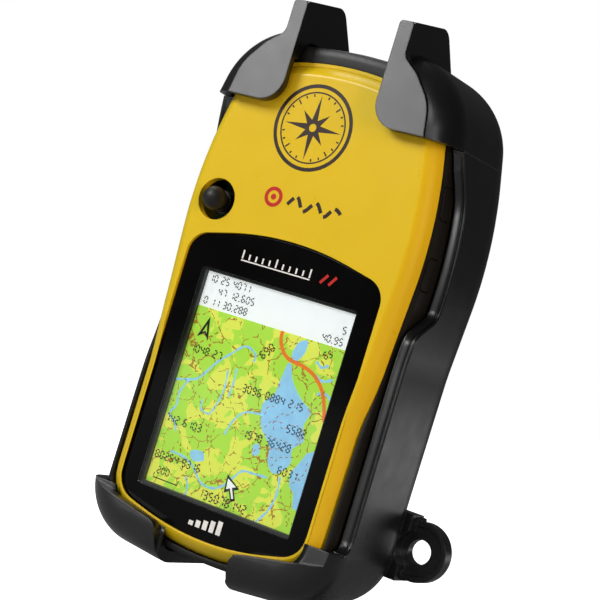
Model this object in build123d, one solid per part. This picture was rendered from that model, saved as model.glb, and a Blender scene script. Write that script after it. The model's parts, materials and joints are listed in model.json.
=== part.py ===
from build123d import *
import math
import os

# A handheld satellite navigator held in a moulded vehicle cradle.
#
# Frame: the front faces -Y, +X is to the right seen from the front and +Z is up.
# The origin is the centre of the four-hole pattern on the cradle's back face (Y = 0).
# "Depth" is the distance behind the navigator's front face. All sizes are in millimetres.

# ---------------------------------------------------------------- driving dimensions

NAV_DEPTH = 30.0            # navigator, front face to back face
NAV_TOP = 54.0              # highest point of the navigator
NAV_BOTTOM = -49.1          # lowest point of the navigator
NAV_HALF_UPPER = 28.0       # half width across the keys
NAV_HALF_LOWER = 26.3       # half width beside the display
REAR_ROUND = 9.0            # rounding of the navigator's back edge

CRADLE_WALL = 2.4
CRADLE_GAP = 0.3            # play between navigator and cradle
CRADLE_GROW = CRADLE_WALL + CRADLE_GAP
FRONT_ROUND = 7.0           # outside rounding where lips and hooks turn the corner
RIGHT_RIM = 4.3             # depth of the side walls' front edge beside the display
LEFT_RIM = 8.2

FRONT_Y = -(NAV_DEPTH + CRADLE_GROW)
REAR_Y = FRONT_Y + NAV_DEPTH

# display
DISPLAY_Z = -16.0           # centre of the display
DISPLAY_W = 34.4
DISPLAY_H = 43.0
MODULE_W = 38.6             # glass outline
MODULE_H = 50.0

# window over the display
WINDOW_HALF = 22.25
WINDOW_TOP = 15.2
WINDOW_BOTTOM = -44.4
LENS_T = 1.1
LENS_SET = 0.25             # how far the lens lies below the front face
LENS_PLAY = 0.05

# shell walls, as depths and insets from the widest outline
FACE_INSET = 0.7            # front shell edge, inset from the rubber band
FACE_TOP = 50.4             # top of the yellow face
FACE_BOTTOM = -47.4         # bottom of the yellow face
FACE_HALF_LOWER = 24.8      # half width of the yellow face beside the display
FACE_ARCH_R = 61.0
FACE_ARCH_FALL = 0.25       # slope of the arches' ends
FACE_WALL = 2.4             # face wall, measured from its edge
FLANGE_DEPTH = 2.4          # front of the flange under the band's lip
LIP_FRONT = 1.6             # front of the band's lip over the top of the face
FACE_ROUND = 2.6            # rounding of the yellow face's edge
FACE_T = 1.8
BAND_FRONT = 3.4
BAND_REAR = 14.7
BAND_T = 1.9
SKIRT_OUTER = 2.0
SKIRT_INNER = 3.4
SKIRT_END = 14.0
SEAL_T = 0.8
REAR_WALL = 2.0

# boards
BOARD_FRONT = 7.4
BOARD_T = 1.2
BOARD_REAR = BOARD_FRONT + BOARD_T
BOARD_INSET = 4.6

# thumb stick
STICK_X = -19.0
STICK_Z = 19.4
STICK_HOLE_R = 4.15
STICK_BALL_R = 2.4

# side keys: height centre of each
KEY_H = 6.2
KEY_D = 3.4
KEY_DEPTH = 5.9             # depth of the key centres
KEY_PLAY = 0.15
KEY_TRAVEL = 0.6
LEFT_KEYS = {"zoom_in_key": 32.6, "zoom_out_key": 25.4, "menu_key": 12.2}
RIGHT_KEYS = {"page_key": 30.0, "power_key": 16.4}

# batteries, AA
CELL_R = 7.1
CELL_BODY = 49.0
CELL_NUB = 1.5
CELL_X = 7.5
CELL_DEPTH = 19.7           # depth of the cell axes
CELL_LOW = -41.6            # lower end of each cell

# battery tray and cover
TRAY_HALF = 15.6
TRAY_WALL = 1.2
TRAY_LOW = -44.8
TRAY_HIGH = 10.6
TRAY_FLOOR = 11.3           # depth of the front of the tray floor
COVER_LAP = 1.5
COVER_DEPTH = 28.3          # depth of the cover's inner face
COVER_PLAY = 0.15
LEDGE_DEPTH = 27.6

# battery latch and its ring
LATCH_Z = -35.0
LATCH_HEAD_R = 3.0
LATCH_SHAFT_R = 1.9
RING_WIRE_R = 0.95
RING_HALF = 7.6             # half width to the wire centre line
RING_DEPTH = 31.1           # depth of the ring's hinge axis
LATCH_TOP_DEPTH = 32.3
RING_WINDOW_LOW = LATCH_Z - 9.3

# port at the top of the back
PORT_Z = 32.5
FLAP_W = 13.0
FLAP_H = 9.4
FLAP_T = 1.3
FLAP_PLAY = 0.2

# cradle
SPLIT_Z = 40.2              # where the release clips leave the frame
SPLIT_PLAY = 0.04
PANEL_HALF = 19.8           # the cradle's back panel, moulded on to the frame
LIP_DEPTH = -CRADLE_GROW    # front of the lips and hooks
CLIP_INNER = 10.3
HOOK_RELIEF = 1.25          # clearance inside the hooks' lips, so they can swing up off the face
HOOK_RELIEF_RISE = 5.8      # height over which the relief deepens
TAB_INNER = CLIP_INNER
TAB_OUTER = 13.3
TAB_TOP = 60.7
HOOK_STEP = 0.35            # how far the hooks' front plates stand proud
TAB_ROOT = 51.0
LOBE_R = 5.0                # lower inner corner of each hook
RIM_LOW = -37.6             # lower end of the side walls' low rims
CUP_INNER = 8.8             # the two bottom cups start this far from the middle
CUP_TOP = -44.0             # upper edge of the cups' lips at that point
CUP_SLOPE = 0.2
TONGUE_HALF = 9.6
TONGUE_TOP = 47.0

# mounting pattern (four screws) and lashing ear
PATTERN_X = 30.17
PATTERN_Z = 38.1
PATTERN_R = 2.5
COUNTERSINK_R = 4.4
EAR_X = 32.0
EAR_Z = -35.3
EAR_R = 6.0
EAR_HOLE_R = 2.45
EAR_FRONT = 28.2
EAR_BACK = 30.4

SCREW_R = 1.0
SCREW_HEAD_R = 1.9
SCREW_SPOTS = [(21.5, -38.6), (21.5, 2.6), (17.0, 42.4)]
SCREW_SEAT = 25.0           # depth of the face under each screw head
SCREW_HEAD_H = 1.4
BOSS_R = 2.1

FAR = 80.0                  # longer than the object, for cutting blocks


# ---------------------------------------------------------------- helpers

def depth(value):
    """Y of a depth behind the navigator's front face."""
    return FRONT_Y + value


def block(x0, x1, d0, d1, z0, z1):
    """A box between two X values, two depths and two heights."""
    centre = ((x0 + x1) / 2, depth((d0 + d1) / 2), (z0 + z1) / 2)
    return Pos(*centre) * Box(abs(x1 - x0), abs(d1 - d0), abs(z1 - z0))


def along_depth(sketch, d0, d1):
    """Extrude a sketch drawn in X and Z from depth d0 to depth d1."""
    plane = Plane(origin=(0, depth(d1), 0), x_dir=(1, 0, 0), z_dir=(0, -1, 0))
    return extrude(plane * sketch, amount=d1 - d0)


def across(sketch, x0, x1):
    """Extrude a sketch drawn in depth and Z from x0 to x1."""
    plane = Plane(origin=(x0, FRONT_Y, 0), x_dir=(0, 1, 0), z_dir=(1, 0, 0))
    return extrude(plane * sketch, amount=x1 - x0)


def rod_y(x, z, radius, d0, d1):
    """A cylinder along Y."""
    return along_depth(Pos(x, z) * Circle(radius), d0, d1)


def rod_z(x, d, radius, z0, z1):
    """A cylinder along Z."""
    return extrude(Pos(x, depth(d), z0) * Circle(radius), amount=z1 - z0)


def rod_x(d, z, radius, x0, x1):
    """A cylinder along X."""
    return across(Pos(d, z) * Circle(radius), x0, x1)


def rounded_outline(points, radii):
    """A face through points, each corner rounded with its own radius."""
    return make_face(FilletPolyline(*points, radius=radii, close=True))


def mirrored(part):
    """The same part on the other side of the YZ plane."""
    return part.mirror(Plane.YZ)


def outline(grow=0.0):
    """The navigator's widest outline seen from the front, grown all round."""
    right = [
        (21.8, NAV_TOP - 1.1),
        (NAV_HALF_UPPER, 25.5),
        (NAV_HALF_LOWER, -1.0),
        (NAV_HALF_LOWER - 0.2, NAV_BOTTOM + 2.2),
    ]
    right_radii = [13.5, 90.0, 60.0, 9.6]
    left = [(-x, z) for x, z in reversed(right)]
    points = [(0, NAV_TOP + 0.1)] + right + [(0, NAV_BOTTOM - 0.5)] + left
    radii = [60.0] + right_radii + [100.0] + right_radii[::-1]
    shape = rounded_outline(points, radii)
    if grow:
        shape = offset(shape, amount=grow)
    return shape


def face_outline(grow=0.0):
    """Outline of the yellow face: inset all round, arched at the top and bottom."""
    side = 30.0
    rise = FACE_ARCH_R * (math.hypot(1, FACE_ARCH_FALL) - 1)
    top = FACE_TOP + rise
    bottom = FACE_BOTTOM - rise
    right = [
        (side, top - side * FACE_ARCH_FALL),
        (side, 30.0),
        (FACE_HALF_LOWER + 2.6, 24.0),
        (FACE_HALF_LOWER, -14.0),
        (FACE_HALF_LOWER, bottom + FACE_HALF_LOWER * FACE_ARCH_FALL),
    ]
    right_radii = [0, 0, 0, 60.0, 8.0]
    left = [(-x, z) for x, z in reversed(right)]
    radii = [FACE_ARCH_R] + right_radii + [FACE_ARCH_R] + right_radii[::-1]
    limit = rounded_outline([(0, top)] + right + [(0, bottom)] + left, radii)
    shape = outline(-FACE_INSET) & limit
    if grow:
        shape = offset(shape, amount=grow)
    return shape


def form(grow, d_front, d_rear, rounding):
    """The navigator's form grown by an amount, with its back edge rounded."""
    body = along_depth(outline(grow), d_front, d_rear)
    back_edges = body.faces().sort_by(Axis.Y)[-1].edges()
    return fillet(back_edges, rounding)


# ---------------------------------------------------------------- cradle

def cradle_shell(front=LIP_DEPTH):
    """Closed shell around the navigator, before it is opened and split."""
    outer = form(CRADLE_GROW, front, NAV_DEPTH + CRADLE_GROW, REAR_ROUND + CRADLE_GROW)
    outer = fillet(outer.faces().sort_by(Axis.Y)[0].edges(), FRONT_ROUND)
    inner = form(CRADLE_GAP, -CRADLE_GAP, NAV_DEPTH + CRADLE_GAP, REAR_ROUND + CRADLE_GAP)
    inner = fillet(inner.faces().sort_by(Axis.Y)[0].edges(), FRONT_ROUND - CRADLE_WALL)
    return outer - inner


def rim_cut(rim, low, x0, x1):
    """Everything in front of a side wall's rim, with the notch for the keys."""
    step = 0.35 * (10.6 - rim)
    points = [(-20, SPLIT_Z + 1), (4.0, SPLIT_Z + 1), (8.8, 31.0), (10.6, 6.6 + step),
              (rim, 6.6 - step), (rim + 0.8, low), (-20, low)]
    radii = [0, 0, 12.0, 3.0, 3.0, 2.4, 0]
    return across(rounded_outline(points, radii), x0, x1)


def cup_cut():
    """The opening between and above the two bottom lips."""
    edge_x = 36.0
    top = CUP_TOP + CUP_SLOPE * (edge_x - CUP_INNER)
    right = [(edge_x, RIM_LOW + 1), (edge_x, top), (CUP_INNER, CUP_TOP), (CUP_INNER - 1.0, NAV_BOTTOM - 6)]
    left = [(-x, z) for x, z in reversed(right)]
    radii = [0, 0, 2.6, 0, 0, 2.6, 0, 0]
    return along_depth(rounded_outline(right + left, radii), -12, -CRADLE_GAP)


def mounting_holes():
    """Four screw holes, countersunk from the inside."""
    holes = []
    back = NAV_DEPTH + CRADLE_GROW
    for x in (-PATTERN_X / 2, PATTERN_X / 2):
        for z in (-PATTERN_Z / 2, PATTERN_Z / 2):
            holes.append(rod_y(x, z, PATTERN_R, NAV_DEPTH, back + 1))
            cone_h = 1.9
            cone = Cone(PATTERN_R, COUNTERSINK_R, cone_h)
            turn = Rot(90, 0, 0)
            holes.append(Pos(x, depth(NAV_DEPTH + CRADLE_GAP + cone_h / 2), z) * turn * cone)
    return holes


def ear():
    """Lashing ear with a raised rim and a recessed eyelet."""
    web = [(24.0, EAR_Z - 6.2), (30.5, EAR_Z - 6.4), (33.0, EAR_Z), (30.5, EAR_Z + 6.4), (24.0, EAR_Z + 7.0)]
    plate = along_depth(make_face(Polyline(*web, close=True)), EAR_FRONT, EAR_BACK)
    plate += rod_y(EAR_X, EAR_Z, EAR_R, EAR_FRONT, EAR_BACK)
    rim = rod_y(EAR_X, EAR_Z, EAR_R, EAR_FRONT - 0.9, EAR_FRONT)
    rim -= rod_y(EAR_X, EAR_Z, EAR_R - 1.1, EAR_FRONT - 2, EAR_FRONT)
    rib = block(26.3, 29.8, 25.4, EAR_BACK, EAR_Z - 6.6, EAR_Z + 6.8)
    recess = rod_y(EAR_X, EAR_Z, 4.1, 20, EAR_FRONT)
    return plate + rim + rib - recess


def cradle_body():
    """Back, side walls and the two bottom cups."""
    shell = cradle_shell()
    body = shell & block(-FAR, FAR, -20, 60, -FAR, SPLIT_Z - SPLIT_PLAY)
    body -= rim_cut(RIGHT_RIM, RIM_LOW, 0, FAR)
    body -= rim_cut(LEFT_RIM, RIM_LOW - 2.4, -FAR, 0)
    body -= cup_cut()
    body -= block(-CUP_INNER + 0.8, CUP_INNER - 0.8, -FAR, NAV_DEPTH - 4, -FAR, NAV_BOTTOM + 6)
    tongue = block(-TONGUE_HALF, TONGUE_HALF, NAV_DEPTH + CRADLE_GAP, NAV_DEPTH + CRADLE_GROW,
                   SPLIT_Z - 4, TONGUE_TOP)
    body += fillet(tongue.edges().filter_by(Axis.Y).group_by(Axis.Z)[-1], 4.0)
    inner = form(CRADLE_GAP, -20, NAV_DEPTH + CRADLE_GAP, REAR_ROUND + CRADLE_GAP)
    body += ear() - inner
    body -= rod_y(EAR_X, EAR_Z, EAR_HOLE_R, 20, 40)
    for hole in mounting_holes():
        body -= hole
    port_window = block(-12.5, 12.5, NAV_DEPTH, 40, PORT_Z - 6.4, PORT_Z + 6.4)
    ring_window = block(-11.4, 11.4, NAV_DEPTH, 40, RING_WINDOW_LOW, LATCH_Z + 10.8)
    for window in (port_window, ring_window):
        body -= fillet(window.edges().filter_by(Axis.Y), 3.0)
    return body


def panel_region():
    """The space that holds the cradle's back panel."""
    return block(-PANEL_HALF, PANEL_HALF, NAV_DEPTH - 1, 40, RING_WINDOW_LOW - 1.6, TONGUE_TOP + 1)


def cradle_frame():
    """Side walls, bottom cups and lashing ear."""
    return cradle_body() - panel_region()


def back_panel():
    """Back panel with the mounting holes and the two windows."""
    return cradle_body() & panel_region()


def release_clip(side):
    """One sprung corner hook with its finger tab; side is -1 left, +1 right."""
    shell = cradle_shell(LIP_DEPTH + HOOK_STEP)
    region = block(CLIP_INNER, FAR, -20, 60, SPLIT_Z + SPLIT_PLAY, FAR)
    body = shell & region
    low = SPLIT_Z + SPLIT_PLAY
    lobe = rounded_outline([(CLIP_INNER, low), (FAR, low), (FAR, FAR), (CLIP_INNER, FAR)], [LOBE_R, 0, 0, 0])
    in_front = block(0, FAR, -10, -CRADLE_GAP, -FAR, FAR)
    body -= in_front - along_depth(lobe, -11, 0)
    plate_points = [(CLIP_INNER, low), (22.0, low), (20.9, 46.4), (16.8, 51.4), (TAB_OUTER, 54.0),
                    (TAB_OUTER, TAB_TOP), (CLIP_INNER, TAB_TOP)]
    plate = rounded_outline(plate_points, [LOBE_R, 0, 9.0, 9.0, 2.5, 0.8, 0.8])
    body += along_depth(plate, LIP_DEPTH, LIP_DEPTH + CRADLE_WALL)
    tab_points = [(LIP_DEPTH, TAB_ROOT), (LIP_DEPTH, TAB_TOP), (11.5, 63.4), (22.6, TAB_ROOT)]
    tab = across(rounded_outline(tab_points, [0, 1.6, 4.0, 0]), TAB_INNER, TAB_OUTER)
    inner = form(CRADLE_GAP, -CRADLE_GAP, NAV_DEPTH + CRADLE_GAP, REAR_ROUND + CRADLE_GAP)
    body += tab - inner
    relief_points = [(0.8, low - 1), (-0.45, low - 1), (-0.45, low), (-HOOK_RELIEF, low + HOOK_RELIEF_RISE),
                     (-HOOK_RELIEF, FACE_TOP - 0.7), (0.8, FACE_TOP - 0.7)]
    relief = across(make_face(Polyline(*relief_points, close=True)), 0, FAR)
    body -= relief & along_depth(outline(-1.5), -5, 5)
    return body if side > 0 else mirrored(body)


# ---------------------------------------------------------------- navigator casing

def window_outline(grow=0.0):
    """The window over the display: arched top and bottom, round corners."""
    right = [(WINDOW_HALF, WINDOW_TOP - 3.4), (WINDOW_HALF, WINDOW_BOTTOM + 3.4)]
    left = [(-x, z) for x, z in reversed(right)]
    points = [(0, WINDOW_TOP + 1.6)] + right + [(0, WINDOW_BOTTOM - 1.6)] + left
    shape = rounded_outline(points, [64.0, 4.5, 6.0, 64.0, 6.0, 4.5])
    if grow:
        shape = offset(shape, amount=grow)
    return shape


def screw_spots():
    """All six case screws, as (x, z)."""
    return [(sign * x, z) for x, z in SCREW_SPOTS for sign in (-1, 1)]


def key_list():
    """Every side key as (name, side, height)."""
    left = [(name, -1, z) for name, z in LEFT_KEYS.items()]
    right = [(name, 1, z) for name, z in RIGHT_KEYS.items()]
    return left + right


def key_tunnel(side, z, play):
    """The space that one key slides in."""
    half_d = KEY_D / 2 + play
    half_h = KEY_H / 2 + play
    tunnel = block(20.0, 32.0, KEY_DEPTH - half_d, KEY_DEPTH + half_d, z - half_h, z + half_h)
    return tunnel if side > 0 else mirrored(tunnel)


def front_shell():
    """Yellow face with its window seat, stick hole, skirt and screw bosses."""
    face = along_depth(face_outline(), 0, BAND_FRONT)
    face = fillet(face.faces().sort_by(Axis.Y)[0].edges(), FACE_ROUND)
    flange = along_depth(outline(-SKIRT_OUTER), FLANGE_DEPTH, BAND_FRONT)
    skirt = along_depth(outline(-SKIRT_OUTER), BAND_FRONT, SKIRT_END)
    skirt -= along_depth(outline(-SKIRT_INNER), 0, SKIRT_END + 1)
    body = face + flange - along_depth(face_outline(-FACE_WALL), FACE_T, BAND_FRONT)
    body += skirt
    for x, z in screw_spots():
        body += rod_y(x, z, BOSS_R, FACE_T - 0.4, BOARD_FRONT - 0.1)
    seat = LENS_SET + LENS_T
    body -= along_depth(window_outline(), -1, seat)
    body -= block(-18.8, 18.8, -1, FACE_T + 1, DISPLAY_Z - 23.0, DISPLAY_Z + 23.0)
    body -= rod_y(STICK_X, STICK_Z, STICK_HOLE_R, -1, FACE_T + 1)
    for _, side, z in key_list():
        body -= key_tunnel(side, z, KEY_PLAY)
    for x, z in screw_spots():
        body -= rod_y(x, z, SCREW_R - 0.15, 3.0, BOARD_FRONT)
    return body


def side_band():
    """Rubber grip band between the two shells, open at each key."""
    band = along_depth(outline(), BAND_FRONT, BAND_REAR)
    front_edges = band.faces().sort_by(Axis.Y)[0].edges()
    band = chamfer(front_edges, 1.1)
    lip = along_depth(outline(-FACE_INSET - 0.1), LIP_FRONT, BAND_FRONT + 0.1)
    lip -= along_depth(face_outline(0.05), 0, BAND_FRONT + 1)
    band = band + lip - along_depth(outline(-BAND_T), FLANGE_DEPTH - 0.05, BAND_REAR + 1)
    for _, side, z in key_list():
        band -= key_tunnel(side, z, KEY_PLAY)
    return band


def side_key(side, z):
    """One rubber key cap with the flange that keeps it in the band."""
    half_d = KEY_D / 2
    half_h = KEY_H / 2
    shaft = block(23.6, 30.0, KEY_DEPTH - half_d, KEY_DEPTH + half_d, z - half_h, z + half_h)
    shaft = fillet(shaft.edges().filter_by(Axis.X), 0.8)
    shaft &= along_depth(outline(-0.05), 0, 20)
    inset = max(0.0, NAV_HALF_UPPER - wall_x(z))
    flange_out = NAV_HALF_UPPER - inset - SKIRT_INNER - 0.25
    flange = block(flange_out - 0.7, flange_out, KEY_DEPTH - half_d - 0.7, KEY_DEPTH + half_d - 0.4,
                   z - half_h - 0.35, z + half_h + 0.35)
    stub = block(flange_out - 0.7, 25.0, KEY_DEPTH - half_d + 0.1, KEY_DEPTH + half_d - 0.4,
                 z - half_h + 0.3, z + half_h - 0.3)
    key = shaft - block(20, flange_out, 0, 20, -FAR, FAR) + flange + stub
    return key if side > 0 else mirrored(key)


def wall_x(z):
    """Half width of the widest outline at a key's narrower end."""
    widths = []
    for edge in (z - KEY_H / 2, z + KEY_H / 2):
        line = outline() & (Pos(20, edge) * Rectangle(40, 0.02))
        widths.append(line.bounding_box().max.X)
    return min(widths)


def rear_shell():
    """Black back half with the battery tray, port opening and screw bosses."""
    body = form(0, BAND_REAR + 0.1, NAV_DEPTH, REAR_ROUND)
    hollow = form(-REAR_WALL, BAND_REAR - 1, NAV_DEPTH - REAR_WALL, REAR_ROUND - REAR_WALL)
    body -= hollow
    lip = along_depth(outline(-0.5), BAND_REAR + 0.1, BAND_REAR + 1.6)
    lip -= along_depth(outline(-SKIRT_INNER), 0, BAND_REAR + 3)
    body += lip
    tray = block(-TRAY_HALF - TRAY_WALL, TRAY_HALF + TRAY_WALL, TRAY_FLOOR, NAV_DEPTH - 1,
                 TRAY_LOW - TRAY_WALL, TRAY_HIGH + TRAY_WALL)
    tray &= form(-0.4, 0, NAV_DEPTH, REAR_ROUND - 0.4)
    body += tray
    for x, z in screw_spots():
        boss = rod_y(x, z, 2.8, BOARD_REAR + 0.1, NAV_DEPTH - 1)
        body += boss & form(-0.4, 0, NAV_DEPTH, REAR_ROUND - 0.4)
    outside_skirt = along_depth(outline(5), 0, BAND_REAR + 0.1)
    outside_skirt -= along_depth(outline(-SKIRT_INNER - 0.2), -1, BAND_REAR + 1)
    body -= outside_skirt
    body -= block(-TRAY_HALF, TRAY_HALF, TRAY_FLOOR + 1.0, 40, TRAY_LOW, TRAY_HIGH)
    lap = TRAY_HALF + COVER_LAP
    body -= block(-lap, lap, LEDGE_DEPTH, 40, TRAY_LOW - 0.9, TRAY_HIGH + COVER_LAP)
    rib = block(-0.2, 0.2, TRAY_FLOOR, 24.6, LATCH_Z - 6, LATCH_Z + 6)
    keeper = block(-1.6, 1.6, 24.2, 25.2, LATCH_Z - 5, LATCH_Z + 5)
    body += rib + keeper
    flap_w = FLAP_W / 2 + FLAP_PLAY
    flap_h = FLAP_H / 2 + FLAP_PLAY
    body -= block(-flap_w, flap_w, NAV_DEPTH - FLAP_T - 0.2, 40, PORT_Z - flap_h, PORT_Z + flap_h)
    body -= block(-5.4, 5.4, 20, 40, PORT_Z - 3.4, PORT_Z + 2.8)
    for x, z in screw_spots():
        body -= rod_y(x, z, SCREW_R + 0.15, 0, 40)
        body -= rod_y(x, z, SCREW_HEAD_R + 0.2, SCREW_SEAT, 40)
    return body


def case_seal():
    """Seal pressed between the front shell's skirt and the rear shell."""
    ring = along_depth(outline(-SKIRT_OUTER - 0.15), SKIRT_END, SKIRT_END + SEAL_T)
    return ring - along_depth(outline(-SKIRT_INNER + 0.15), SKIRT_END - 1, SKIRT_END + SEAL_T + 1)


def case_screws():
    """Six case screws."""
    screws = None
    for x, z in screw_spots():
        top = SCREW_SEAT + SCREW_HEAD_H
        screw = rod_y(x, z, SCREW_R, 4.0, SCREW_SEAT) + rod_y(x, z, SCREW_HEAD_R, SCREW_SEAT, top)
        screw -= block(x - 1.2, x + 1.2, top - 0.6, top + 1, z - 0.25, z + 0.25)
        screw -= block(x - 0.25, x + 0.25, top - 0.6, top + 1, z - 1.2, z + 1.2)
        # the thread bites 0.15 mm into the front shell's boss, so it is drawn at its core there
        screw -= rod_y(x, z, 3, 0, BOARD_FRONT - 0.05) - rod_y(x, z, SCREW_R - 0.15, 0, BOARD_FRONT)
        screws = screw if screws is None else screws + screw
    return screws


def window_lens():
    """Clear window, printed black round the display."""
    return along_depth(window_outline(-LENS_PLAY), LENS_SET, LENS_SET + LENS_T)


# ---------------------------------------------------------------- display and electronics

def frame_around(half_w, half_h, bar, d0, d1, z=DISPLAY_Z):
    """A flat rectangular frame round a clear opening."""
    outer = block(-half_w - bar, half_w + bar, d0, d1, z - half_h - bar, z + half_h + bar)
    return outer - block(-half_w, half_w, d0 - 1, d1 + 1, z - half_h, z + half_h)


def display_bezel():
    """Dark frame between the window and the display glass."""
    return frame_around(DISPLAY_W / 2 + 0.1, DISPLAY_H / 2 + 0.1, 1.2, LENS_SET + LENS_T + 0.05, 2.35)


def display_glass():
    """Display glass with its active area."""
    half_w = MODULE_W / 2
    half_h = MODULE_H / 2
    return block(-half_w, half_w, 2.4, 4.0, DISPLAY_Z - half_h, DISPLAY_Z + half_h)


def backlight():
    """Light guide behind the display glass."""
    half_w = MODULE_W / 2 - 0.5
    half_h = MODULE_H / 2 - 1.0
    return block(-half_w, half_w, 4.05, 5.8, DISPLAY_Z - half_h, DISPLAY_Z + half_h)


def display_ribbon():
    """Flexible ribbon from the bottom of the glass to the main board."""
    low = DISPLAY_Z - MODULE_H / 2
    tail = block(-8, 8, 2.6, 2.8, low - 2.0, low)
    drop = block(-8, 8, 2.6, BOARD_FRONT, low - 2.2, low - 2.0)
    foot = block(-8, 8, BOARD_FRONT - 0.25, BOARD_FRONT, low - 2.0, low + 4.0)
    return tail + drop + foot


def main_board():
    """Main circuit board, with a hole for each case screw."""
    board = along_depth(outline(-BOARD_INSET), BOARD_FRONT, BOARD_REAR)
    for x, z in screw_spots():
        board -= rod_y(x, z, SCREW_R + 0.2, 0, 20)
    return board


def gps_antenna():
    """Ceramic patch antenna under the top of the face."""
    tile = block(-10.0, 14.0, 3.4, 7.35, 24.5, 48.5)
    pin = rod_y(3.0, 35.0, 1.0, 3.2, 3.4)
    return chamfer(tile.edges().filter_by(Axis.Y), 0.8) + pin


def shield_can(x0, x1, z0, z1):
    """Pressed metal shield on the back of the main board."""
    can = block(x0, x1, BOARD_REAR + 0.02, 11.0, z0, z1)
    can = fillet(can.faces().sort_by(Axis.Y)[-1].edges(), 0.5)
    return can - block(x0 + 0.3, x1 - 0.3, BOARD_REAR - 1, 10.7, z0 + 0.3, z1 - 0.3)


def key_switches():
    """Five side-acting key switches on the edges of the main board."""
    group = None
    for _, side, z in key_list():
        x1 = wall_x(z) - SKIRT_INNER - 0.25 - 0.7 - KEY_TRAVEL - 0.1
        switch = block(x1 - 4.0, x1 - 0.5, 4.4, BOARD_FRONT - 0.02, z - 2.2, z + 2.2)
        switch += block(x1 - 0.6, x1, 5.2, 6.6, z - 0.9, z + 0.9)
        switch = switch if side > 0 else mirrored(switch)
        group = switch if group is None else group + switch
    return group


def card_socket():
    """Memory card socket in the floor of the battery tray."""
    shell = block(-8.0, 7.6, 9.0, 11.0, -30.0, -15.0)
    return shell - block(-6.0, 5.6, 9.6, 10.4, -31.0, -16.0)


def memory_card():
    """Memory card in its socket."""
    return block(-5.8, 5.4, 9.7, 10.3, -31.0, -16.4)


def beeper():
    """Piezo beeper on the back of the main board."""
    return rod_y(13.6, 24.0, 5.5, BOARD_REAR + 0.02, 11.2) - rod_y(13.6, 24.0, 0.8, 10.6, 12)


def backup_cell():
    """Small backup battery for the clock."""
    return rod_y(14.4, 34.4, 3.4, BOARD_REAR + 0.02, 10.8)


# ---------------------------------------------------------------- thumb stick

def stick_switch():
    """Five-way switch body on the main board."""
    half = 2.4
    body = block(STICK_X - half, STICK_X + half, 4.6, BOARD_FRONT - 0.02, STICK_Z - half, STICK_Z + half)
    return body - rod_y(STICK_X, STICK_Z, 1.75, 0, 6.4)


def stick_plunger():
    """Post that is pressed straight in."""
    return rod_y(STICK_X, STICK_Z, 1.45, 4.4, 5.8)


def stick_rocker():
    """Tilting ring above the post, for the up and down directions."""
    return rod_y(STICK_X, STICK_Z, 1.6, 3.35, 4.05) - rod_y(STICK_X, STICK_Z, 0.75, 0, 8)


def stick_cap():
    """Rubber ball cap on its stem, for the left and right directions."""
    ball = Pos(STICK_X, depth(-0.6), STICK_Z) * Sphere(STICK_BALL_R)
    stem = rod_y(STICK_X, STICK_Z, 0.6, 0.5, 3.9)
    skirt = rod_y(STICK_X, STICK_Z, 2.1, 1.9, 2.7)
    return ball + stem + skirt


# ---------------------------------------------------------------- power

def aa_cell(side):
    """One AA cell; the left one has its nub up, the right one down."""
    x = side * CELL_X
    body = rod_z(x, CELL_DEPTH, CELL_R, CELL_LOW, CELL_LOW + CELL_BODY)
    body = fillet(body.edges().filter_by(GeomType.CIRCLE), 0.6)
    nub_r = 2.6
    if side < 0:
        nub = rod_z(x, CELL_DEPTH, nub_r, CELL_LOW + CELL_BODY - 0.1, CELL_LOW + CELL_BODY + CELL_NUB)
    else:
        nub = rod_z(x, CELL_DEPTH, nub_r, CELL_LOW - CELL_NUB, CELL_LOW + 0.1)
    return body + nub


def cell_springs():
    """Coil springs on the flat ends of the two cells."""
    wire_r = 0.3
    coil_r = 3.0
    length = 2.2
    coils = None
    ends = [(-CELL_X, CELL_LOW - length - wire_r - 0.02), (CELL_X, CELL_LOW + CELL_BODY + wire_r + 0.02)]
    for x, z in ends:
        path = Pos(x, depth(CELL_DEPTH), z) * Helix(pitch=length / 2.5, height=length, radius=coil_r)
        start = path @ 0
        section = Plane(origin=start, z_dir=path % 0) * Circle(wire_r)
        coil = sweep(section, path=path)
        coils = coil if coils is None else coils + coil
    return coils


def contact_plates():
    """Nickel contact plates at the two ends of the tray."""
    low = TRAY_LOW + 0.02
    high = TRAY_HIGH - 0.02
    bottom = block(-14.6, 14.6, 15.0, 25.0, low, low + 0.3)
    top_left = block(-14.0, -1.2, 15.0, 25.0, high - 0.3, high)
    top_right = block(1.2, 14.0, 15.0, 25.0, high - 0.3, high)
    left_nub = CELL_LOW + CELL_BODY + CELL_NUB
    right_nub = CELL_LOW - CELL_NUB
    bump_left = rod_z(-CELL_X, CELL_DEPTH, 2.0, left_nub + 0.02, high)
    bump_right = rod_z(CELL_X, CELL_DEPTH, 2.0, low, right_nub - 0.02)
    return bottom + top_left + top_right + bump_left + bump_right


def battery_cover():
    """Cover over the tray, following the rounded back."""
    half = TRAY_HALF + COVER_LAP - COVER_PLAY
    plate = form(0, 0, NAV_DEPTH, REAR_ROUND)
    plate &= block(-half, half, COVER_DEPTH, 40, TRAY_LOW - 0.9 + COVER_PLAY, TRAY_HIGH + COVER_LAP - COVER_PLAY)
    return plate - rod_y(0, LATCH_Z, LATCH_HEAD_R + 0.1, 20, 40)


def cover_seal():
    """Seal under the cover's edge."""
    half = TRAY_HALF + COVER_LAP - 0.4
    low = TRAY_LOW - 0.5
    high = TRAY_HIGH + COVER_LAP - 0.4
    ring = block(-half, half, LEDGE_DEPTH + 0.02, COVER_DEPTH - 0.02, low, high)
    ring -= block(-half + 1.0, half - 1.0, 20, 40, low + 0.45, high - 1.0)
    return ring & form(-0.3, 0, NAV_DEPTH, REAR_ROUND - 0.3)


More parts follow.
